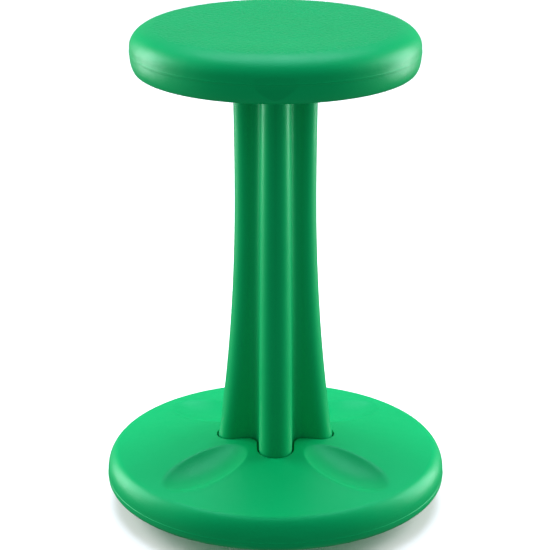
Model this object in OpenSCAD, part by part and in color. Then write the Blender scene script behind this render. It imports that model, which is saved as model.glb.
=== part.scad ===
// Wobble stool: a round dished seat on a four-lobed hollow column, plugged into a round base
// with a domed underside that rocks on the floor. Millimetres, +Z up, floor at z = 0.

/* [Overall] */
// Height of the seat's rim above the floor
stool_h = 475; // [460:1:500]
// Wall of every moulded shell
wall = 4; // [3:0.5:4.5]

/* [Seat] */
// Diameter of the seat
seat_d = 270; // [260:1:284]
// Thickness of the seat
seat_t = 41.6; // [41:0.2:43]
// Width of the roll that rounds the seat's upper edge
seat_roll_w = 26.6; // [22:0.2:32]
// Height of that roll
seat_roll_h = 18.5; // [16:0.5:19.5]
// Height of the lower shell, from the seat's underside to the seam
seat_lower_h = 18.3; // [17:0.1:19]
// Width of the rounding at the seat's lower edge
seat_lower_w = 6.2; // [5.5:0.1:9]
// Depth of the dish in the middle of the seat
dish_depth = 2.5; // [1.5:0.5:3]
// Diameter of the dish's flat middle
dish_d = 110; // [90:5:130]

/* [Column] */
// Tip radius of the lobes at the foot
foot_tip = 56.2; // [54:0.2:58]
// Tip radius of the lobes at the waist
waist_tip = 38.8; // [38:0.2:41]
// Height of the waist above the floor
waist_z = 325; // [310:5:340]
// How the column spreads below the waist, as a power of the distance
flare_power = 2.1; // [1.9:0.1:2.3]
// Half the width of a lobe at the foot
foot_half = 16.2; // [15:0.1:17]
// Half the width of a lobe under the seat
head_half = 13; // [12.5:0.5:13.5]
// Radius of the hollow between two lobes
flute_r = 10.5; // [9:0.5:11]

/* [Base] */
// Diameter of the base
base_d = 332; // [325:1:338]
// Height of the base's widest place
base_waist_z = 32; // [31:0.5:34]
// Height of the sloping top's outer edge
base_edge_z = 51.5; // [50:0.5:54]
// Width of the roll that rounds the base's upper edge
base_roll_w = 13; // [11:0.5:18]
// Height of the base's top beside the column
base_crown_z = 64.5; // [63:0.5:66]
// Height of the seam above the floor
base_seam_z = 28.5; // [28:0.5:30]
// Depth of the four dents in the base's top
dent_depth = 8; // [6:0.5:9]
// Length of a dent
dent_l = 98; // [92:1:102]
// Width of a dent
dent_w = 56; // [50:1:58]
// Distance of a dent's middle from the axis
dent_at = 95; // [92:1:98]

/* [Rocker] */
// Radius of the domed underside
dome_r = 625; // [615:5:680]
// Diameter of the flat in the middle of the underside
floor_flat_d = 60; // [56:1:64]
// Diameter of the grip pad
grip_d = 72; // [70:1:76]
// Thickness of the grip pad
grip_t = 3; // [2.5:0.1:3.5]

/* [Fits] */
// Depth of the column's foot in the base
foot_depth = 44; // [42:0.5:45]
// Depth of the column's head in the seat
head_depth = 28; // [26:0.5:28.5]
// Gap of the push fits all round
fit_gap = 0.3; // [0.3:0.05:0.4]
// Gap round the column at the socket's mouth
mouth_gap = 1.4; // [1:0.1:2]
// Depth of that wider gap
mouth_depth = 8; // [6:1:10]
// Radius of the hollows that the mouth's outline is drawn round
mouth_hollow_r = 14.4; // [12:0.2:16]

/* [Hidden] */
$fn = 96;
lip_h = 12;
rib_t = 3;
green = [0.02, 0.62, 0.36];
rubber = [0.03, 0.34, 0.21];
arc_steps = 14;

seat_r = seat_d / 2;
seat_bottom_z = stool_h - seat_t;
seat_seam_z = seat_bottom_z + seat_lower_h;
seat_roll_z = stool_h - seat_roll_h;
dish_z = stool_h - dish_depth;
dish_under_z = dish_z - wall;

base_r = base_d / 2;
base_seam_r = base_r - 0.3;
rocker_corner = 6.4;
rim_r = base_seam_r - rocker_corner;
dome_centre_z = sqrt(pow(dome_r, 2) - pow(floor_flat_d / 2, 2));
rim_z = dome_z(rim_r);

crown_fall = (base_crown_z - base_edge_z) / (base_r - base_roll_w - foot_tip);
crown_apex_z = base_crown_z + crown_fall * foot_tip;
foot_top_z = base_crown_z - 0.5;
foot_z = foot_top_z - foot_depth;
head_top_z = seat_bottom_z + head_depth;
head_tip = tip_at(seat_bottom_z);
head_half_at_seat = half_at(seat_bottom_z);

// Height of the domed underside at radius r
function dome_z(r, thick = 0) = dome_centre_z - sqrt(pow(dome_r - thick, 2) - pow(r, 2));

// Points of a quarter ellipse about (x, z), from the first angle to the second
function quarter(x, z, a, b, from, to) =
    [for (i = [0:arc_steps]) let (t = from + (to - from) * i / arc_steps) [x + a * cos(t), z + b * sin(t)]];

// Tip radius of the column's lobes at height z
function tip_at(z) = z < foot_top_z ? foot_tip
    : z < waist_z ? waist_tip
        + (foot_tip - waist_tip) * pow((waist_z - z) / (waist_z - foot_top_z), flare_power)
    : waist_tip + 0.4 * pow((min(z, seat_bottom_z) - waist_z) / 60, 2);

// Half width of the column's lobes at height z
function half_at(z) = foot_half + (head_half - foot_half)
    * (min(max(z, foot_top_z), seat_bottom_z) - foot_top_z) / (seat_bottom_z - foot_top_z);

// Radius of the flutes at height z: they tighten where the lobes leave less room
function flute_at(z) = min(flute_r, tip_at(z) - 2 * half_at(z) - 0.2);

// Outline of the four-lobed section, anticlockwise: a round tip, then the hollow to the next lobe
tip_steps = 8;
flute_steps = 4;
function section(tip, half, flute) = [
    for (lobe = [0:3]) let (turn = lobe * 90) each concat(
        [for (i = [0:tip_steps]) let (t = -90 + 180 * i / tip_steps)
            spin([tip - half + half * cos(t), half * sin(t)], turn)],
        [for (i = [0:flute_steps]) let (t = 270 - 90 * i / flute_steps)
            spin([half + flute + flute * cos(t), half + flute + flute * sin(t)], turn)])];
function spin(p, a) = [p[0] * cos(a) - p[1] * sin(a), p[0] * sin(a) + p[1] * cos(a)];

// A lobed prism that stands grow outside the column's section at its foot or head
module lobed_prism(tip, half, grow, z0, z1, hollow_r = flute_r) {
    translate([0, 0, z0])
        linear_extrude(z1 - z0) polygon(section(tip + grow, half + grow, hollow_r - grow));
}

// Ring inside a seam that keeps the upper and lower shells in line; it is one wall thick
module locating_lip(shell_r, z0, z1) {
    out_r = shell_r - fit_gap;
    translate([0, 0, z0])
        rotate_extrude()
            translate([out_r - wall, 0]) square([wall, z1 - z0]);
}

// Seat's upper shell: side, roll and dish, open below
module seat_top() {
    color(green)
        rotate_extrude()
            polygon(concat(
                [[seat_r - wall, seat_seam_z], [seat_r, seat_seam_z]],
                quarter(seat_r - seat_roll_w, seat_roll_z, seat_roll_w, seat_roll_h, 0, 90),
                [[dish_d / 2, dish_z], [0, dish_z], [0, dish_under_z], [dish_d / 2, dish_under_z]],
                quarter(seat_r - seat_roll_w, seat_roll_z, seat_roll_w - wall, seat_roll_h - wall, 90, 0)));
}

// Seat's lower shell: rounded edge, flat underside, the column's socket, ribs and a locating lip
module seat_underside() {
    ribs = 8;
    rib_from = head_tip / 2;
    rib_to = seat_r - seat_roll_w;
    lower_r = seat_r - seat_lower_w;
    color(green)
        difference() {
            union() {
                rotate_extrude()
                    polygon(concat(
                        [[0, seat_bottom_z]],
                        quarter(lower_r, seat_seam_z, seat_lower_w, seat_lower_h, -90, 0),
                        quarter(lower_r, seat_seam_z, seat_lower_w - wall, seat_lower_h - wall, 0, -90),
                        [[0, seat_bottom_z + wall]]));
                locating_lip(seat_r - wall, seat_bottom_z + wall / 2, seat_seam_z + lip_h / 2);
                lobed_prism(head_tip, head_half_at_seat, wall, seat_bottom_z, head_top_z + wall);
                for (a = [22.5:360 / ribs:360])
                    rotate(a)
                        translate([rib_from, -rib_t / 2, seat_bottom_z + wall / 2])
                            cube([rib_to - rib_from, rib_t, dish_under_z - seat_bottom_z - wall / 2]);
            }
            lobed_prism(head_tip, head_half_at_seat, fit_gap, seat_bottom_z - 1, head_top_z);
        }
}

// Column: a hollow four-lobed tube that flares to its foot, with a straight plug at each end
module column() {
    flare_rings = 15;
    throat_rings = 2;
    heights = concat(
        [foot_z + fit_gap],
        [for (i = [0:flare_rings]) foot_top_z + (waist_z - foot_top_z) * i / flare_rings],
        [for (i = [1:throat_rings]) waist_z + (seat_bottom_z - waist_z) * i / throat_rings],
        [head_top_z - fit_gap]);
    rings = concat(
        [for (z = heights) [for (p = section(tip_at(z), half_at(z), flute_at(z))) [p[0], p[1], z]]],
        [for (i = [len(heights) - 1:-1:0]) let (z = heights[i])
            [for (p = section(tip_at(z) - wall, half_at(z) - wall, flute_at(z) + wall)) [p[0], p[1], z]]]);
    around = len(rings[0]);
    count = len(rings);
    color(green)
        polyhedron(
            points = [for (ring = rings) each ring],
            faces = [for (i = [0:count - 1], j = [0:around - 1])
                let (a = i * around + j, b = i * around + (j + 1) % around,
                     c = (i + 1) % count * around + (j + 1) % around, d = (i + 1) % count * around + j)
                each [[a, c, b], [a, d, c]]],
            convexity = 8);
}

// Long shallow ring whose underside presses one dent into the base; grow thickens it
module dent_tool(grow) {
    across = (pow(dent_w / 2, 2) + pow(dent_depth, 2)) / (2 * dent_depth);
    along = (pow(dent_l / 2, 2) + pow(dent_depth, 2)) / (2 * dent_depth);
    translate([dent_at, 0, base_crown_z - crown_fall * (dent_at - foot_tip)])
        rotate([0, atan(crown_fall), 0])
            translate([0, 0, along - dent_depth])
                rotate([90, 0, 0])
                    rotate_extrude() translate([along - across, 0]) circle(across + grow);
}

// Base's upper shell: side, roll, crowned top with four dents, and the column's socket
module base_cover() {
    cut_z = crown_apex_z + 1;
    module skin(thick) {
        rotate_extrude()
            polygon(concat(
                [[0, base_seam_z - (thick > 0 ? 1 : 0)],
                 [base_seam_r - thick, base_seam_z - (thick > 0 ? 1 : 0)],
                 [base_seam_r - thick, base_seam_z]],
                quarter(base_r - base_roll_w, base_waist_z, base_roll_w - thick,
                    base_edge_z - base_waist_z - thick, 0, 90),
                [[foot_tip, base_crown_z - thick],
                 [0, thick > 0 ? base_crown_z - thick : crown_apex_z]]));
    }
    color(green)
        difference() {
            union() {
                difference() {
                    skin(0);
                    for (a = [45:90:315])
                        rotate(a) dent_tool(0);
                    difference() {
                        skin(wall);
                        for (a = [45:90:315])
                            rotate(a) dent_tool(wall);
                    }
                }
                lobed_prism(foot_tip, foot_half, wall, foot_z - wall, foot_top_z - wall / 2);
            }
            lobed_prism(foot_tip, foot_half, fit_gap, foot_z, cut_z);
            lobed_prism(foot_tip, foot_half, mouth_gap, foot_top_z - mouth_depth, cut_z, mouth_hollow_r);
        }
}

// Rocker: domed underside with a rim, a lip inside the cover and a ring that carries the socket
module rocker() {
    boss_r = 50;
    boss_z = grip_t + wall;
    dome_steps = 24;
    dome_in_r = rim_r - wall;
    color(green)
        difference() {
            union() {
                rotate_extrude()
                    polygon(concat(
                        [[0, 0], [floor_flat_d / 2, 0]],
                        [for (i = [1:dome_steps]) let (r = floor_flat_d / 2
                            + (rim_r - floor_flat_d / 2) * i / dome_steps) [r, dome_z(r)]],
                        quarter(rim_r, rim_z + rocker_corner, rocker_corner, rocker_corner, -75, 0),
                        [[base_seam_r, base_seam_z], [base_seam_r - wall, base_seam_z],
                         [base_seam_r - wall, rim_z + wall]],
                        [for (i = [dome_steps:-1:0]) let (r = dome_in_r * i / dome_steps)
                            [r, dome_z(r, wall)]]));
                locating_lip(base_seam_r - wall, rim_z + wall / 2, base_seam_z + lip_h / 3);
                difference() {
                    translate([0, 0, wall / 2]) cylinder(h = foot_z - 1.5 * wall, r = boss_r);
                    translate([0, 0, boss_z]) cylinder(h = foot_z, r = boss_r - wall);
                }
            }
            translate([0, 0, -1]) cylinder(h = grip_t + 1, d = grip_d);
        }
}

// Grip pad: soft disc let into the middle of the underside; its edge follows the dome
module grip_pad() {
    steps = 4;
    flat_r = floor_flat_d / 2;
    color(rubber)
        rotate_extrude()
            polygon(concat(
                [[0, grip_t], [0, 0], [flat_r, 0]],
                [for (i = [1:steps]) let (r = flat_r + (grip_d / 2 - flat_r) * i / steps) [r, dome_z(r)]],
                [[grip_d / 2, grip_t]]));
}

seat_top();
seat_underside();
column();
base_cover();
rocker();
grip_pad();
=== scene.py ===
import math

import bmesh
import bpy
import numpy as np
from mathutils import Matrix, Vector


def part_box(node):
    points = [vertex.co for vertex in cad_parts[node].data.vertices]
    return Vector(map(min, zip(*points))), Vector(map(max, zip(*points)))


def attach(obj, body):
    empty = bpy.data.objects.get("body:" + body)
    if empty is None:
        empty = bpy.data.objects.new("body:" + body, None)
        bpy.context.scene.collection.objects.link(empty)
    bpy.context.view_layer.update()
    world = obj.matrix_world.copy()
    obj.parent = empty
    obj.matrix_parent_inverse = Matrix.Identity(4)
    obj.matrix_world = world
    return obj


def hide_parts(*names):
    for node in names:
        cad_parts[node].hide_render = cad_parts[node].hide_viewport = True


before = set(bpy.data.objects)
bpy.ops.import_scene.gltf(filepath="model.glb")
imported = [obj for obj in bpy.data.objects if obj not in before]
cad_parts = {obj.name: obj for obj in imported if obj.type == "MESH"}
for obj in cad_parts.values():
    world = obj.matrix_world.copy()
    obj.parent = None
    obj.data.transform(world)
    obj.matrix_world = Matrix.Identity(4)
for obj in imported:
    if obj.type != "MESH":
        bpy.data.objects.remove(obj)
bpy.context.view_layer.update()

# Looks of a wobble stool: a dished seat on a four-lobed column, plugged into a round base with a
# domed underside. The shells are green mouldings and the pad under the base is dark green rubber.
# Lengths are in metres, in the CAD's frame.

MM = 0.001

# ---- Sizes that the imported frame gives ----
SEAT_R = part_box("seat_top")[1].x
SEAT_TOP_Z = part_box("seat_top")[1].z
SEAT_SEAM_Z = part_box("seat_top")[0].z
SEAT_BOTTOM_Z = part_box("seat_underside")[0].z
HEAD_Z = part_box("column")[1].z
FOOT_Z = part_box("column")[0].z
FOOT_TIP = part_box("column")[1].x
BASE_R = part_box("base_cover")[1].x
SOCKET_UNDER_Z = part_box("base_cover")[0].z
BASE_SEAM_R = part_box("rocker")[1].x
PAD_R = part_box("grip_pad")[1].x
PAD_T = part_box("grip_pad")[1].z

# ---- Sizes of the mouldings ----
WALL = 4 * MM
FIT_GAP = 0.3 * MM
EDGE = 0.7 * MM
LIP_H = 12 * MM
LIP_CHAMFER = 1 * MM
SEAM_BEAD = 0.3 * MM  # how far a seam's bead stands proud of the side
BEAD_H = 0.8 * MM
BEAD_EDGE = 0.14 * MM
POLE_R = 1 * MM  # radius of the ring next to a skin's pole

SEAT_ROLL_W = 26.6 * MM
SEAT_ROLL_H = 18.5 * MM
SEAT_LOWER_W = 6.2 * MM
DISH_DEPTH = 2.5 * MM
DISH_FLAT_R = 50 * MM
DISH_RIM_R = 106 * MM

COLUMN_EDGE = 1.5 * MM
WAIST_TIP = 38.8 * MM
WAIST_Z = 325 * MM
FLARE_POWER = 2.1
HEAD_FLARE = 0.4 * MM  # growth of the tips over HEAD_FLARE_L above the waist
HEAD_FLARE_L = 60 * MM
FOOT_HALF = 16.2 * MM
HEAD_HALF = 13 * MM
FLUTE_R = 10.5 * MM
FLUTE_SPARE = 0.2 * MM  # shortest straight flank between a lobe's tip and its flute
SOCKET_CORNER = 2 * MM
HEAD_WALL_RING = 20 * MM  # depth of the deeper ring in the wall of the head's socket
FOOT_WALL_RING = 30 * MM  # and in the foot's

BASE_CROWN_Z = 64.5 * MM
BASE_WAIST_Z = 32 * MM
BASE_ROLL_W = 13 * MM
BASE_ROLL_H = 19.5 * MM
BASE_SEAM_Z = 28.5 * MM
FOOT_TOP_FALL = 0.5 * MM  # how far the foot's straight part ends below the crown
MOUTH_GAP = 1.4 * MM
MOUTH_DEPTH = 8 * MM
MOUTH_EDGE = 0.8 * MM
MOUTH_HOLLOW_R = 14.4 * MM
THROAT_RING = 3 * MM  # height of a second ring in the mouth, over its first
DENT_DEPTH = 8 * MM
DENT_AT = 95 * MM
DENT_HALF_L = 49 * MM
DENT_HALF_W = 28 * MM
DENT_BLEND = 0.5 * MM  # difference in height over which a dent blends into the top
DENT_REACH = 0.9  # share of its two radii within which a dent's surface is worked out
FAR_ABOVE = 1.0  # stands for a dent's height everywhere else

DOME_R = 625 * MM
FLOOR_FLAT_R = 30 * MM
RIM_CORNER = 6.4 * MM
BOSS_R = 50 * MM
POCKET_EDGE = 1.2 * MM

PAD_CLEARANCE = 0.2 * MM
GROOVE_FIRST_R = 5 * MM
GROOVE_PITCH = 4 * MM
GROOVE_DEPTH = 0.7 * MM
GROOVE_SLOPE = 0.2 * MM
GROOVE_FLOOR = 0.8 * MM

FOOT_TOP_Z = BASE_CROWN_Z - FOOT_TOP_FALL
SOCKET_FLOOR_Z = SOCKET_UNDER_Z + WALL
SOCKET_ROOF_Z = HEAD_Z + FIT_GAP
CROWN_FALL = (BASE_CROWN_Z - BASE_WAIST_Z - BASE_ROLL_H) / (BASE_R - BASE_ROLL_W - FOOT_TIP)

# ---- Steps and rings of the meshes: the first three are for a quarter of the lobed outline ----
TIP_STEPS = 32
FLANK_STEPS = 10
FLUTE_STEPS = 18
CORNER_STEPS = 5
DISH_RINGS = 48
COLUMN_RINGS = 90
TOP_RINGS = 76
DOME_RINGS = 48
AROUND = 320
AROUND_PAD = 192
SHOWN_STRETCH = 4 * MM  # longest stretch of a path that shows
HIDDEN_STRETCH = 12 * MM
ROCKER_HIDDEN_STRETCH = 20 * MM

# ---- Finishes: linear colours, and noise scales in blobs per metre ----
GREEN_LIGHT = (0.001, 0.370, 0.115, 1)
GREEN_DARK = (0.000, 0.330, 0.095, 1)
SHEEN_GREEN = (0.15, 1.0, 0.75, 1)
SHEEN_LEVEL = 0.2
RUBBER_GREEN = (0.006, 0.060, 0.032, 1)
RUBBER_DUST = (0.045, 0.110, 0.080, 1)
RUBBER_ROUGHNESS = 0.8
FLOOR_WHITE = (0.96, 0.96, 0.96, 1)
FLOOR_ROUGHNESS = 0.9
DRIFT_SCALE = 11.0
FLECK_SCALE = 420.0
GLOSS_SCALE = 70.0
SMOOTHEST = 0.34
ROUGHEST = 0.42
GRAIN_SCALE = 900.0
GRAIN_H = 0.05 * MM
STIPPLE_SCALE = 340.0
STIPPLE_H = 0.6 * MM
STIPPLE_R = 112 * MM
STIPPLE_END_R = 118 * MM
DUST_SCALE = 160.0
RUBBER_GRAIN_SCALE = 1500.0
RUBBER_GRAIN_H = 0.06 * MM

# ---- Studio: sizes in metres, powers in watts, and the sun's in watts per square metre ----
LIT_POINT = (0, 0, 0.25)
SIDE_BOX_X = 1.45
SIDE_BOX_Y = 0.6
SIDE_BOX_Z = 0.55
SIDE_BOX_SIZE = (0.9, 1.4)
SIDE_BOX_POWER = 42
BACK_BOX_PLACE = (0, 2.6, 1.1)
BACK_BOX_SIZE = (2.0, 0.8)
BACK_BOX_POWER = 1
SUN_PLACE = (0, 0.55, 1.8)
SUN_POWER = 2.9
SUN_COLOUR = (0.93, 1.0, 1.2)
SUN_SPREAD = math.radians(48)
ROOM_SEEN = 1.0
ROOM_FRONT = 0.45
ROOM_BACK = 0.10
ROOM_TURN = (-0.2, 0.5)  # a direction's Y where the room starts and stops turning from front to back
FLOOR_REACH = 30

# ---- Camera, solved from the photograph's outlines ----
CAMERA_PLACE = (-0.0005, -1.7297, 0.8558)
CAMERA_PITCH = 0.3468  # radians below the horizon
CAMERA_LENS = 125.4  # millimetres, as is the sensor
CAMERA_SENSOR = 36


# ---- Paths in the (radius, height) plane ----
def arc(x, z, a, b, start, end, steps):
    """Points of an elliptical arc about (x, z), from one angle to another in degrees."""
    angles = np.radians(np.linspace(start, end, steps + 1))
    return [(x + a * math.cos(t), z + b * math.sin(t)) for t in angles]


def corners(*points):
    """A path through points (x, z, radius), each turned by an arc of its radius."""
    path = []
    for i, (x, z, radius) in enumerate(points):
        if radius == 0:
            path.append((x, z))
            continue
        here = Vector((x, z))
        back = (Vector(points[i - 1][:2]) - here).normalized()
        on = (Vector(points[i + 1][:2]) - here).normalized()
        half_turn = back.angle(on) / 2
        reach = radius / math.tan(half_turn)
        centre = here + (back + on).normalized() * (radius / math.sin(half_turn))
        first = (here + back * reach - centre).normalized()
        last = (here + on * reach - centre).normalized()
        path += [tuple(centre + first.slerp(last, k / CORNER_STEPS) * radius)
                 for k in range(CORNER_STEPS + 1)]
    return path


def dense(path, longest):
    """The same path with no stretch longer than the given length."""
    points = [path[0]]
    for (x0, z0), (x1, z1) in zip(path, path[1:]):
        pieces = max(1, math.ceil(math.hypot(x1 - x0, z1 - z0) / longest))
        points += [(x0 + (x1 - x0) * k / pieces, z0 + (z1 - z0) * k / pieces)
                   for k in range(1, pieces + 1)]
    return points


def smooth_step(t):
    """0 below 0, 1 above 1, and a smooth rise between."""
    t = np.clip(t, 0, 1)
    return t * t * (3 - 2 * t)


def dome_z(r, depth=0.0):
    """Height of the domed underside at a radius, or of the surface that lies depth inside it."""
    centre_z = math.sqrt(DOME_R ** 2 - FLOOR_FLAT_R ** 2)
    return centre_z - math.sqrt((DOME_R - depth) ** 2 - r ** 2)


# ---- The lobed section ----
def lobed(tip, half, flute, grow=0.0):
    """Outline of the four-lobed section as (x, y) points: round tips, straight flanks and hollow
    flutes. A positive grow moves the outline outwards by that much."""
    tip, half, flute = tip + grow, half + grow, flute - grow
    flank = np.linspace(tip - half, half + flute, FLANK_STEPS + 1)[1:-1]
    quarter = np.array(
        arc(tip - half, 0, half, half, -90, 90, TIP_STEPS)
        + [(x, half) for x in flank]
        + arc(half + flute, half + flute, flute, flute, 270, 180, FLUTE_STEPS)
        + [(half, y) for y in flank[::-1]]
    )
    turns = [np.array([[c, s], [-s, c]]) for c, s in ((1, 0), (0, 1), (-1, 0), (0, -1))]
    return np.concatenate([quarter @ turn for turn in turns])


def tip_at(z):
    """Tip radius of the column's lobes at a height."""
    if z < FOOT_TOP_Z:
        return FOOT_TIP
    if z < WAIST_Z:
        down = (WAIST_Z - z) / (WAIST_Z - FOOT_TOP_Z)
        return WAIST_TIP + (FOOT_TIP - WAIST_TIP) * down ** FLARE_POWER
    return WAIST_TIP + HEAD_FLARE * ((min(z, SEAT_BOTTOM_Z) - WAIST_Z) / HEAD_FLARE_L) ** 2


def half_at(z):
    """Half width of the column's lobes at a height."""
    up = (min(max(z, FOOT_TOP_Z), SEAT_BOTTOM_Z) - FOOT_TOP_Z) / (SEAT_BOTTOM_Z - FOOT_TOP_Z)
    return FOOT_HALF + (HEAD_HALF - FOOT_HALF) * up


def section_at(z, grow=0.0):
    """Ring of the column's section at a height. The flutes tighten where the lobes leave less room."""
    tip, half = tip_at(z), half_at(z)
    outline = lobed(tip, half, min(FLUTE_R, tip - 2 * half - FLUTE_SPARE), grow)
    return np.column_stack([outline, np.full(len(outline), z)])


# ---- Meshes ----
def turned(path, around=AROUND):
    """Rings of a path of (radius, height) points turned about the stool's axis."""
    angles = np.linspace(0, 2 * math.pi, around, endpoint=False)
    circle = np.column_stack([np.cos(angles), np.sin(angles)])
    return [np.column_stack([circle * r, np.full(around, z)]) for r, z in path]


def skin(rings, closed):
    """Vertices and faces over rings of equal length. A closed skin joins its last ring to its first,
    and an open one ends in a pole at each end."""
    around = len(rings[0])
    verts = [tuple(point) for ring in rings for point in ring]
    spans = len(rings) if closed else len(rings) - 1
    faces = []
    for i in range(spans):
        low = i * around
        high = (i + 1) % len(rings) * around
        for j in range(around):
            k = (j + 1) % around
            faces.append((low + j, low + k, high + k, high + j))
    if not closed:
        for start, flip in ((0, True), ((len(rings) - 1) * around, False)):
            verts.append(tuple(np.mean(verts[start:start + around], axis=0)))
            for j in range(around):
                a, b = start + j, start + (j + 1) % around
                faces.append((b, a, len(verts) - 1) if flip else (a, b, len(verts) - 1))
    return verts, faces


def add_piece(name, rings, closed, node, body, material):
    """A smooth piece over the rings that stands for a CAD node, rides on a body and takes a finish."""
    verts, faces = skin(rings, closed)
    mesh = bpy.data.meshes.new(name)
    mesh.from_pydata(verts, [], faces)
    outward = bmesh.new()
    outward.from_mesh(mesh)
    bmesh.ops.recalc_face_normals(outward, faces=outward.faces)
    outward.to_mesh(mesh)
    outward.free()
    mesh.polygons.foreach_set("use_smooth", [True] * len(mesh.polygons))
    mesh.materials.append(material)
    piece = bpy.data.objects.new(name, mesh)
    bpy.context.scene.collection.objects.link(piece)
    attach(piece, body)
    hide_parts(node)


# ---- Materials ----
def node_maker(owner):
    """A short way to add nodes to a material or a world:
    make("ShaderNodeType", {input: value or socket}, attribute=value)."""
    tree = owner.node_tree

    def make(kind, inputs=None, **attributes):
        node = tree.nodes.new(kind)
        for key, value in attributes.items():
            setattr(node, key, value)
        for key, value in (inputs or {}).items():
            if isinstance(value, bpy.types.NodeSocket):
                tree.links.new(value, node.inputs[key])
            else:
                node.inputs[key].default_value = value
        return node

    return make


def mixed_colour(make, factor, a, b):
    """A colour between a and b; the Mix node's colour sockets are numbers 6 and 7."""
    return make("ShaderNodeMix", {0: factor, 6: a, 7: b}, data_type="RGBA").outputs[2]


def mixed_value(make, factor, a, b):
    """A number between a and b; the Mix node's number sockets are numbers 2 and 3."""
    return make("ShaderNodeMix", {0: factor, 2: a, 3: b}).outputs[0]


def ramp(make, value, low, high, to_low, to_high):
    """A value that goes from to_low to to_high as the input goes from low to high."""
    return make("ShaderNodeMapRange", {"Value": value, "From Min": low, "From Max": high,
                                       "To Min": to_low, "To Max": to_high}).outputs["Result"]


def noise(make, place, scale, detail=3.0):
    """Noise of about one blob per 1/scale metres."""
    return make("ShaderNodeTexNoise", {"Vector": place, "Scale": scale, "Detail": detail}).outputs["Fac"]


def distance_from_axis(make, place):
    """Distance from the stool's axis, in metres."""
    flat = make("ShaderNodeVectorMath", {0: place, 1: (1, 1, 0)}, operation="MULTIPLY").outputs[0]
    return make("ShaderNodeVectorMath", {0: flat}, operation="LENGTH").outputs["Value"]


def moulded_plastic(name, stippled=False):
    """Green satin moulded plastic with slow colour drift and a fine grain. A stippled one has a coarse
    leather stipple out to a radius round the stool's axis, and the fine grain beyond it."""
    material = bpy.data.materials.new(name)
    material.use_nodes = True
    shader = material.node_tree.nodes["Principled BSDF"]
    make = node_maker(material)
    place = make("ShaderNodeTexCoord").outputs["Object"]

    drift = mixed_colour(make, noise(make, place, DRIFT_SCALE), GREEN_DARK, GREEN_LIGHT)
    fleck = ramp(make, noise(make, place, FLECK_SCALE, 2.0), 0.55, 0.8, 0.0, 0.25)
    colour = mixed_colour(make, fleck, drift, GREEN_LIGHT)

    gloss = ramp(make, noise(make, place, GLOSS_SCALE, 4.0), 0.3, 0.7, SMOOTHEST, ROUGHEST)
    height = ramp(make, noise(make, place, GRAIN_SCALE, 2.0), 0.3, 0.7, 0.0, GRAIN_H)
    if stippled:
        away = distance_from_axis(make, place)
        middle = ramp(make, away, STIPPLE_R, STIPPLE_END_R, 1.0, 0.0)
        cells = make("ShaderNodeTexVoronoi", {"Vector": place, "Scale": STIPPLE_SCALE},
                     feature="SMOOTH_F1").outputs["Distance"]
        stipple = ramp(make, cells, 0.1, 0.75, STIPPLE_H, 0.0)
        height = mixed_value(make, middle, height, stipple)
    bump = make("ShaderNodeBump", {"Height": height, "Strength": 1.0, "Distance": 1.0})
    material.node_tree.links.new(colour, shader.inputs["Base Color"])
    material.node_tree.links.new(gloss, shader.inputs["Roughness"])
    material.node_tree.links.new(bump.outputs["Normal"], shader.inputs["Normal"])
    shader.inputs["Specular IOR Level"].default_value = SHEEN_LEVEL
    shader.inputs["Specular Tint"].default_value = SHEEN_GREEN
    return material


def grip_rubber():
    """Matt dark green rubber with a fine grain and dust in it."""
    material = bpy.data.materials.new("grip_rubber")
    material.use_nodes = True
    shader = material.node_tree.nodes["Principled BSDF"]
    make = node_maker(material)
    place = make("ShaderNodeTexCoord").outputs["Object"]
    dust = ramp(make, noise(make, place, DUST_SCALE, 5.0), 0.5, 0.75, 0.0, 0.35)
    colour = mixed_colour(make, dust, RUBBER_GREEN, RUBBER_DUST)
    height = ramp(make, noise(make, place, RUBBER_GRAIN_SCALE), 0.3, 0.7, 0.0, RUBBER_GRAIN_H)
    bump = make("ShaderNodeBump", {"Height": height, "Strength": 1.0, "Distance": 1.0})
    material.node_tree.links.new(colour, shader.inputs["Base Color"])
    material.node_tree.links.new(bump.outputs["Normal"], shader.inputs["Normal"])
    shader.inputs["Roughness"].default_value = RUBBER_ROUGHNESS
    return material


# ---- Rings that follow the lobed section ----
def offset(end, grow):
    """The outline of a lobed end, such as the column's foot, moved outwards by grow."""
    return lobed(*end, grow)


def at_height(outline, z):
    """A ring of an outline at one height, or at a height for each of its points."""
    return np.column_stack([outline, np.broadcast_to(z, len(outline))])


def circle(end, radius, evenness=1.0):
    """Points on a circle, one for each point of a lobed end's outline: in line with it at an evenness
    of 0, and evenly spaced at 1."""
    outline = offset(end, 0.0)
    angles = np.unwrap(np.arctan2(outline[:, 1], outline[:, 0]))
    even = angles[0] + np.linspace(0, 2 * math.pi, len(angles), endpoint=False)
    angles = angles * (1 - evenness) + even * evenness
    return np.column_stack([np.cos(angles), np.sin(angles)]) * radius


def circles(end, path):
    """Evenly spaced rings, matched to a lobed end, for each (radius, height) of a path."""
    return [at_height(circle(end, r), z) for r, z in path]


def between(end, grow, radius, share):
    """Outline that turns from a lobed end's into a circle as share goes from 0 to 1."""
    return offset(end, grow) * (1 - share) + circle(end, radius, share ** 0.5) * share


def socket_wall(end, deep_z, mouth_z, depths):
    """Rings of a lobed socket, a fit gap wider than the column's end, from the middle of its closed
    end to its mouth. The wall has a ring at each of the depths, counted from the mouth."""
    toward_mouth = math.copysign(1, mouth_z - deep_z)
    closed_end = [at_height(offset(end, FIT_GAP - SOCKET_CORNER) * share, deep_z)
                  for share in (0.15, 0.5, 0.85)]
    corner = [at_height(offset(end, FIT_GAP + x), deep_z + toward_mouth * z)
              for x, z in arc(-SOCKET_CORNER, SOCKET_CORNER, SOCKET_CORNER, SOCKET_CORNER, -90, 0, 6)]
    wall = [at_height(offset(end, FIT_GAP), mouth_z - toward_mouth * depth) for depth in depths]
    return closed_end + corner + wall


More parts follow.
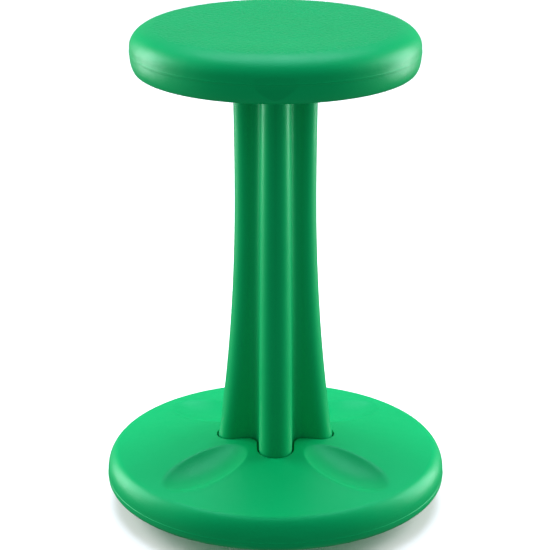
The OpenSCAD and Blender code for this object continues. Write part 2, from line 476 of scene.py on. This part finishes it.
# ---- Pieces ----
def make_seat_top(material):
    """Seat's upper shell: its inside, then a beaded seam, an upright side, the roll, and a shallow
    dish."""
    side = SEAT_R - SEAM_BEAD
    roll_z = SEAT_TOP_Z - SEAT_ROLL_H
    roll_r = side - SEAT_ROLL_W
    dish_r = np.linspace(roll_r, POLE_R, DISH_RINGS)
    fall = 1 - smooth_step((dish_r - DISH_FLAT_R) / (DISH_RIM_R - DISH_FLAT_R))
    fall[0] = 0
    dish = list(zip(dish_r, SEAT_TOP_Z - DISH_DEPTH * fall))
    outside = (
        corners((side - WALL, SEAT_SEAM_Z, 0), (SEAT_R, SEAT_SEAM_Z, BEAD_EDGE),
                (SEAT_R, SEAT_SEAM_Z + BEAD_H, BEAD_EDGE), (side, SEAT_SEAM_Z + 1.5 * BEAD_H, BEAD_EDGE),
                (side, roll_z, 0))[:-1]
        + arc(roll_r, roll_z, SEAT_ROLL_W, SEAT_ROLL_H, 0, 90, 36)[:-1]
        + dish
    )
    inside = [(r, z - WALL) for r, z in dish[:0:-1]]
    inside += arc(roll_r, roll_z, SEAT_ROLL_W - WALL, SEAT_ROLL_H - WALL, 90, 0, 20)
    rings = turned(dense(inside, HIDDEN_STRETCH) + dense(outside, SHOWN_STRETCH))
    add_piece("seat_top_shell", rings, False, "seat_top", "seat", material)


def make_seat_underside(material):
    """Seat's lower shell, from the roof of the column's socket out to the seam and back inside. A lip
    holds it in line with the upper shell."""
    side = SEAT_R - SEAM_BEAD
    head = (tip_at(SEAT_BOTTOM_Z), half_at(SEAT_BOTTOM_Z), FLUTE_R)
    lower_r = side - SEAT_LOWER_W
    lower_h = SEAT_SEAM_Z - SEAT_BOTTOM_Z
    inner_r = side - WALL - FIT_GAP
    socket = socket_wall(head, SOCKET_ROOF_Z, SEAT_BOTTOM_Z, (HEAD_WALL_RING, EDGE))
    mouth = [at_height(offset(head, FIT_GAP + x), SEAT_BOTTOM_Z + z)
             for x, z in arc(EDGE, EDGE, EDGE, EDGE, 180, 270, 5)[1:]]
    under = [at_height(between(head, FIT_GAP + EDGE, lower_r, share), SEAT_BOTTOM_Z)
             for share in np.linspace(0, 1, 20)[1:]]
    outside = (
        arc(lower_r, SEAT_SEAM_Z, SEAT_LOWER_W, lower_h, -90, -8, 24)[1:]
        + corners((side, SEAT_SEAM_Z - 2 * BEAD_H, 0), (side, SEAT_SEAM_Z - 1.5 * BEAD_H, BEAD_EDGE),
                  (SEAT_R, SEAT_SEAM_Z - BEAD_H, BEAD_EDGE), (SEAT_R, SEAT_SEAM_Z, BEAD_EDGE),
                  (inner_r, SEAT_SEAM_Z, 0))
    )
    floor_z = SEAT_BOTTOM_Z + WALL
    lip = [(inner_r, SEAT_SEAM_Z + LIP_H / 2), (inner_r - WALL, SEAT_SEAM_Z + LIP_H / 2),
           (inner_r - WALL, floor_z)]
    floor = [at_height(between(head, WALL, inner_r - WALL, share), floor_z) for share in (0.8, 0.4, 0)]
    roof = [at_height(offset(head, WALL) * share, SOCKET_ROOF_Z + WALL) for share in (1, 0.6, 0.2)]
    rings = socket + mouth + under + circles(head, outside + lip) + floor + roof
    add_piece("seat_underside_shell", rings, False, "seat_underside", "seat", material)


def make_column(material):
    """Column: a lobed tube with rounded ends, straight where it is plugged in and flared at its foot."""
    heights = np.concatenate([
        np.linspace(FOOT_Z + COLUMN_EDGE, FOOT_TOP_Z, 10)[:-1],
        np.linspace(FOOT_TOP_Z, SEAT_BOTTOM_Z, COLUMN_RINGS)[:-1],
        np.linspace(SEAT_BOTTOM_Z, HEAD_Z - COLUMN_EDGE, 8),
    ])
    outside = [section_at(z) for z in heights]
    head_edge = [section_at(HEAD_Z - COLUMN_EDGE + z, x - COLUMN_EDGE)
                 for x, z in arc(0, 0, COLUMN_EDGE, COLUMN_EDGE, 0, 90, 6)[1:]]
    inside = [section_at(z, -WALL) for z in np.linspace(HEAD_Z, FOOT_Z, 48)]
    foot_edge = [section_at(FOOT_Z + COLUMN_EDGE + z, x - COLUMN_EDGE)
                 for x, z in arc(0, 0, COLUMN_EDGE, COLUMN_EDGE, -90, 0, 6)[:-1]]
    rings = outside + head_edge + inside + foot_edge
    add_piece("column_tube", rings, True, "column", "column", material)


def pressed(x, y, z):
    """Heights of the base's top once the four dents are pressed into it, for points at heights z.
    A dent is the mark of a ring's outer side: along is the ring's radius and across its tube's."""
    along = (DENT_HALF_L ** 2 + DENT_DEPTH ** 2) / (2 * DENT_DEPTH)
    across = (DENT_HALF_W ** 2 + DENT_DEPTH ** 2) / (2 * DENT_DEPTH)
    middle_z = BASE_CROWN_Z - CROWN_FALL * (DENT_AT - FOOT_TIP)
    for turn in range(4):
        a = math.radians(45 + 90 * turn)
        u = x * math.cos(a) + y * math.sin(a) - DENT_AT
        v = y * math.cos(a) - x * math.sin(a)
        inside = (np.abs(v) < DENT_REACH * across) & (np.abs(u) < DENT_REACH * along) & (u > -DENT_AT)
        ring = along - across + np.sqrt(np.maximum(across ** 2 - v ** 2, 0))
        dent = middle_z - CROWN_FALL * u + along - DENT_DEPTH
        dent = np.where(inside, dent - np.sqrt(np.maximum(ring ** 2 - u ** 2, 0)), FAR_ABOVE)
        share = np.clip(0.5 + (z - dent) / (2 * DENT_BLEND), 0, 1)
        z = z * (1 - share) + dent * share - DENT_BLEND * share * (1 - share)
    return z


def make_base_cover(material):
    """Base's upper shell: the column's socket and its wider lobed mouth, the crowned top with its
    dents, the roll and the seam."""
    foot = (FOOT_TIP, FOOT_HALF, FLUTE_R)
    mouth = (FOOT_TIP, FOOT_HALF, MOUTH_HOLLOW_R)
    side = BASE_R - SEAM_BEAD
    roll_r = side - BASE_ROLL_W
    roll_end = math.degrees(math.atan2(BASE_ROLL_H, CROWN_FALL * BASE_ROLL_W))
    roll = arc(roll_r, BASE_WAIST_Z, BASE_ROLL_W, BASE_ROLL_H, roll_end, 0, 40)
    top_r, top_z = roll[0]
    fall = (BASE_CROWN_Z - top_z) / (top_r - FOOT_TIP)

    def crown(outline, sunk=0.0):
        """Ring of the crowned top over an outline, with the dents pressed in, sunk by some depth."""
        x, y = outline[:, 0], outline[:, 1]
        z = BASE_CROWN_Z - fall * (np.hypot(x, y) - FOOT_TIP)
        return at_height(outline, pressed(x, y, z) - sunk)

    mouth_z = FOOT_TOP_Z - MOUTH_DEPTH
    socket = socket_wall(foot, SOCKET_FLOOR_Z, mouth_z, (FOOT_WALL_RING, 0))
    throat = [at_height(offset(mouth, MOUTH_GAP), mouth_z + z) for z in (0, THROAT_RING)]
    mouth_edge = [crown(offset(mouth, MOUTH_GAP + MOUTH_EDGE + x), MOUTH_EDGE - z)
                  for x, z in arc(0, 0, MOUTH_EDGE, MOUTH_EDGE, 180, 90, 6)]
    top = [crown(between(mouth, MOUTH_GAP + MOUTH_EDGE, top_r, share))
           for share in np.linspace(0, 1, TOP_RINGS)[1:]]
    lower = corners(
        (side, BASE_WAIST_Z, 0), (side, BASE_SEAM_Z + 1.5 * BEAD_H, BEAD_EDGE),
        (BASE_R, BASE_SEAM_Z + BEAD_H, BEAD_EDGE), (BASE_R, BASE_SEAM_Z, BEAD_EDGE),
        (BASE_SEAM_R - WALL, BASE_SEAM_Z, 0))[1:]
    inside = arc(roll_r, BASE_WAIST_Z, BASE_ROLL_W - WALL, BASE_ROLL_H - WALL, 0, roll_end, 16)
    ceiling = [crown(between(foot, WALL, inside[-1][0], share), WALL)
               for share in np.linspace(1, 0, 24)[1:]]
    under = [at_height(offset(foot, WALL) * share, SOCKET_UNDER_Z) for share in (1, 0.6, 0.2)]
    rings = (socket + throat + mouth_edge + top + circles(foot, roll[1:] + lower + inside[:-1])
             + ceiling + under)
    add_piece("base_cover_shell", rings, False, "base_cover", "base", material)


def make_rocker(material):
    """Rocker: the domed underside with a pocket for the grip pad, its rim and seam, the lip that goes
    up into the base cover, and the ring that carries the column's socket."""
    rim_r = BASE_SEAM_R - RIM_CORNER
    dome = [(r, dome_z(r)) for r in np.linspace(PAD_R + POCKET_EDGE, rim_r, DOME_RINGS)]
    inner_r = BASE_SEAM_R - WALL - FIT_GAP
    lip_r = inner_r - WALL
    lip_z = BASE_SEAM_Z + LIP_H / 3
    roof_z = PAD_T + WALL
    outside = (
        [(2 * POLE_R, PAD_T)]
        + corners((PAD_R / 2, PAD_T, 0), (PAD_R, PAD_T, EDGE / 2),
                  (PAD_R, dome_z(PAD_R), EDGE / 2), dome[0] + (0,))
        + dome[1:]
        + arc(rim_r, dome_z(rim_r) + RIM_CORNER, RIM_CORNER, RIM_CORNER, -70, 0, 8)
        + corners((BASE_SEAM_R, BASE_SEAM_Z - 2 * BEAD_EDGE, 0), (BASE_SEAM_R, BASE_SEAM_Z, BEAD_EDGE),
                  (inner_r, BASE_SEAM_Z, 0))[1:]
    )
    inside = (
        [(inner_r, lip_z), (lip_r, lip_z), (lip_r, dome_z(lip_r, WALL) + LIP_CHAMFER)]
        + [(r, dome_z(r, WALL)) for r in np.linspace(lip_r - LIP_CHAMFER, BOSS_R, 24)]
        + [(BOSS_R, SOCKET_UNDER_Z), (BOSS_R - WALL, SOCKET_UNDER_Z), (BOSS_R - WALL, roof_z),
           (BOSS_R / 2, roof_z), (2 * POLE_R, roof_z)]
    )
    rings = turned(dense(outside, SHOWN_STRETCH) + dense(inside, ROCKER_HIDDEN_STRETCH))
    add_piece("rocker_shell", rings, False, "rocker", "base", material)


def make_grip_pad(material):
    """Grip pad: a soft disc with round grooves in its flat middle, flush with the dome round it."""
    edge_r = PAD_R - PAD_CLEARANCE
    path = [(POLE_R, 0), (GROOVE_FIRST_R, 0)]
    r = GROOVE_FIRST_R
    while r + GROOVE_PITCH < FLOOR_FLAT_R:
        far = r + GROOVE_SLOPE + GROOVE_FLOOR
        path += [(r + GROOVE_SLOPE, GROOVE_DEPTH), (far, GROOVE_DEPTH), (far + GROOVE_SLOPE, 0),
                 (r + GROOVE_PITCH, 0)]
        r += GROOVE_PITCH
    path += [(FLOOR_FLAT_R, 0)]
    path += [(r, dome_z(r)) for r in np.linspace(FLOOR_FLAT_R, edge_r - EDGE, 6)[1:]]
    path += [(edge_r, dome_z(edge_r) + EDGE), (edge_r, PAD_T), (PAD_R / 2, PAD_T), (POLE_R, PAD_T)]
    rings = turned(path, AROUND_PAD)
    add_piece("grip_pad_disc", rings, False, "grip_pad", "base", material)


# ---- Stage ----
def aimed(thing, place, target):
    """Puts a light at a place and turns it to face a target."""
    thing.location = place
    thing.rotation_euler = (Vector(target) - Vector(place)).to_track_quat("-Z", "Y").to_euler()


def softbox(name, place, target, size, power):
    """A rectangular studio light, hidden from the camera's own view."""
    light = bpy.data.lights.new(name, "AREA")
    light.shape = "RECTANGLE"
    light.size, light.size_y = size
    light.energy = power
    lamp = bpy.data.objects.new(name, light)
    bpy.context.scene.collection.objects.link(lamp)
    aimed(lamp, place, target)
    lamp.visible_camera = False


def make_floor():
    """A wide flat pale floor that runs on past every view. It is left out of reflections and of
    bounced light."""
    material = bpy.data.materials.new("floor")
    material.use_nodes = True
    shader = material.node_tree.nodes["Principled BSDF"]
    shader.inputs["Base Color"].default_value = FLOOR_WHITE
    shader.inputs["Roughness"].default_value = FLOOR_ROUGHNESS
    mesh = bpy.data.meshes.new("floor")
    sides = ((-1, -1), (1, -1), (1, 1), (-1, 1))
    mesh.from_pydata([(x * FLOOR_REACH, y * FLOOR_REACH, 0) for x, y in sides], [], [(0, 1, 2, 3)])
    mesh.materials.append(material)
    floor = bpy.data.objects.new("floor", mesh)
    bpy.context.scene.collection.objects.link(floor)
    floor.visible_glossy = False
    floor.visible_diffuse = False


def light_the_stage():
    """A softbox at each side, a little behind the stool, a weak one far behind it, and a wide cool
    sun nearly overhead. The stool's front is left as deep a green as in the photograph."""
    for name, x in (("left_box", -SIDE_BOX_X), ("right_box", SIDE_BOX_X)):
        softbox(name, (x, SIDE_BOX_Y, SIDE_BOX_Z), LIT_POINT, SIDE_BOX_SIZE, SIDE_BOX_POWER)
    softbox("back_box", BACK_BOX_PLACE, LIT_POINT, BACK_BOX_SIZE, BACK_BOX_POWER)
    light = bpy.data.lights.new("overhead", "SUN")
    light.energy = SUN_POWER
    light.color = SUN_COLOUR
    light.angle = SUN_SPREAD
    sun = bpy.data.objects.new("overhead", light)
    bpy.context.scene.collection.objects.link(sun)
    aimed(sun, SUN_PLACE, LIT_POINT)


def make_room():
    """The room round the stage: white to the camera, dimmer as a light, and dimmest behind the stool."""
    world = bpy.data.worlds.new("studio_room")
    world.use_nodes = True
    make = node_maker(world)
    direction = make("ShaderNodeSeparateXYZ",
                     {"Vector": make("ShaderNodeTexCoord").outputs["Generated"]}).outputs["Y"]
    as_light = ramp(make, direction, *ROOM_TURN, ROOM_FRONT, ROOM_BACK)
    seen = make("ShaderNodeLightPath").outputs["Is Camera Ray"]
    strength = ramp(make, seen, 0.0, 1.0, as_light, ROOM_SEEN)
    background = world.node_tree.nodes["Background"]
    background.inputs["Color"].default_value = (1, 1, 1, 1)
    world.node_tree.links.new(strength, background.inputs["Strength"])
    bpy.context.scene.world = world
    bpy.context.scene.view_settings.view_transform = "Standard"


def place_camera():
    """The photograph's view: from 1.73 m in front and 0.86 m up, looking down by 19.9 degrees."""
    camera = bpy.data.objects.new("camera", bpy.data.cameras.new("camera"))
    camera.data.lens = CAMERA_LENS
    camera.data.sensor_width = CAMERA_SENSOR
    camera.location = CAMERA_PLACE
    camera.rotation_euler = (math.pi / 2 - CAMERA_PITCH, 0, 0)
    bpy.context.scene.collection.objects.link(camera)
    bpy.context.scene.camera = camera


plastic = moulded_plastic("moulded_plastic")
seat_plastic = moulded_plastic("stippled_plastic", stippled=True)
rubber = grip_rubber()

make_seat_top(seat_plastic)
make_seat_underside(plastic)
make_column(plastic)
make_base_cover(plastic)
make_rocker(plastic)
make_grip_pad(rubber)

make_floor()
light_the_stage()
make_room()
place_camera()
